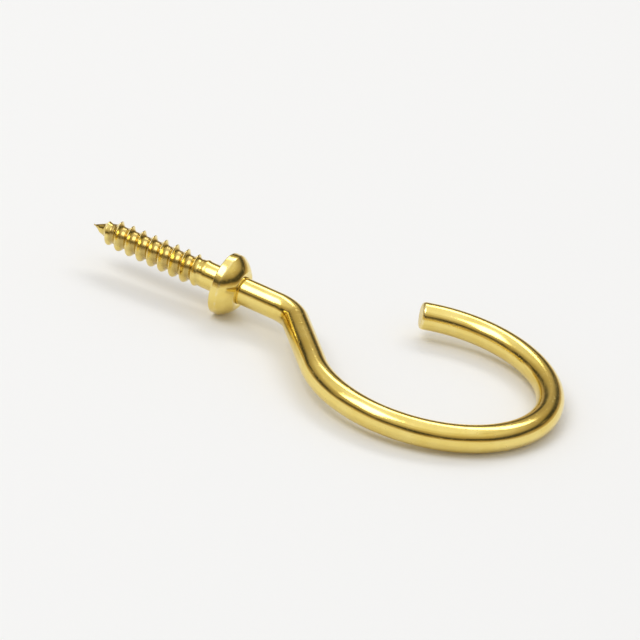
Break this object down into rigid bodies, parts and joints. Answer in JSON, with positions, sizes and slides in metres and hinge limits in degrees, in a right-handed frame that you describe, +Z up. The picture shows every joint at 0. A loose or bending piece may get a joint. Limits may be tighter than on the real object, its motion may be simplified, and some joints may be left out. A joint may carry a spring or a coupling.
{
  "type": "cup hook",
  "caption": "Round cup hook: a wood screw, a domed collar and a kinked neck that opens into a round bow with a plain cut end.",
  "frame": {"origin": "on the surface that the hook lies on, under the middle of its outline", "axes": "+Z up from that surface, +X along the screw's axis towards the bow, in plan; the neck bends to -Y and the bow's cut end is on the +Y side"},
  "size_m": [0.045, 0.0232, 0.0055],
  "materials": {
    "brass_plating": "bright polished brass plating"
  },
  "bodies": {
    "root": {"hook": "brass_plating", "collar": "brass_plating"}
  },
  "joints": []
}
